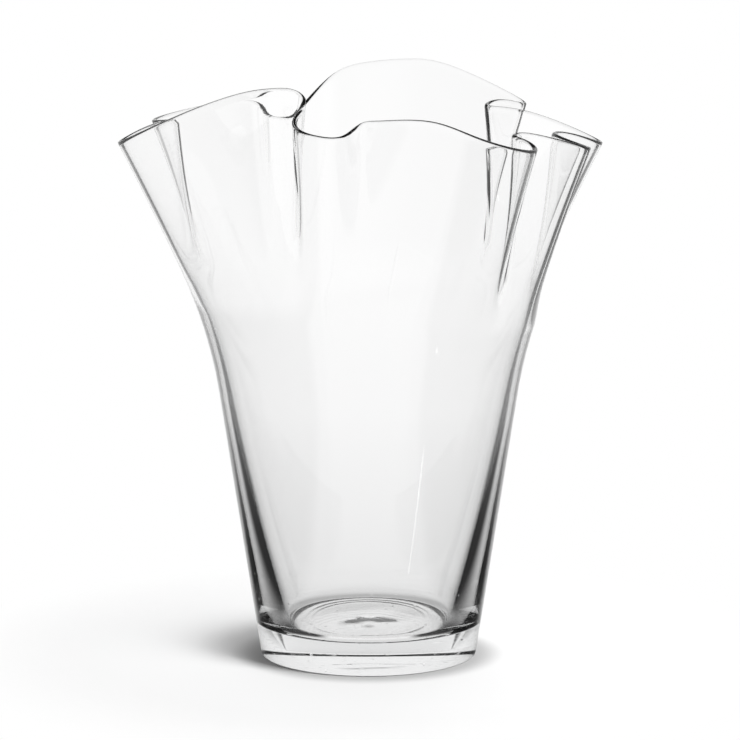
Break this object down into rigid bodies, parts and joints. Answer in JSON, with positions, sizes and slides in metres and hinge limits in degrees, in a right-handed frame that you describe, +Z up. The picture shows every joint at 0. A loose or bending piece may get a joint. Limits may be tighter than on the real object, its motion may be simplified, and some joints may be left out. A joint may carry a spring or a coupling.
{
  "type": "folded-rim vase",
  "caption": "Clear blown-glass flower vase with a heavy round base, a conical body and a flared rim folded into uneven petals.",
  "frame": {"origin": "middle of the foot, in the plane of the ring that stands on the table", "axes": "+Z up along the axis of the round body, -Y towards the front that the picture shows, +X to its right"},
  "size_m": [0.22, 0.2092, 0.2695],
  "materials": {
    "glass": "clear, colourless, fire-polished gloss"
  },
  "bodies": {
    "root": {"base": "glass", "wall": "glass"}
  },
  "joints": []
}
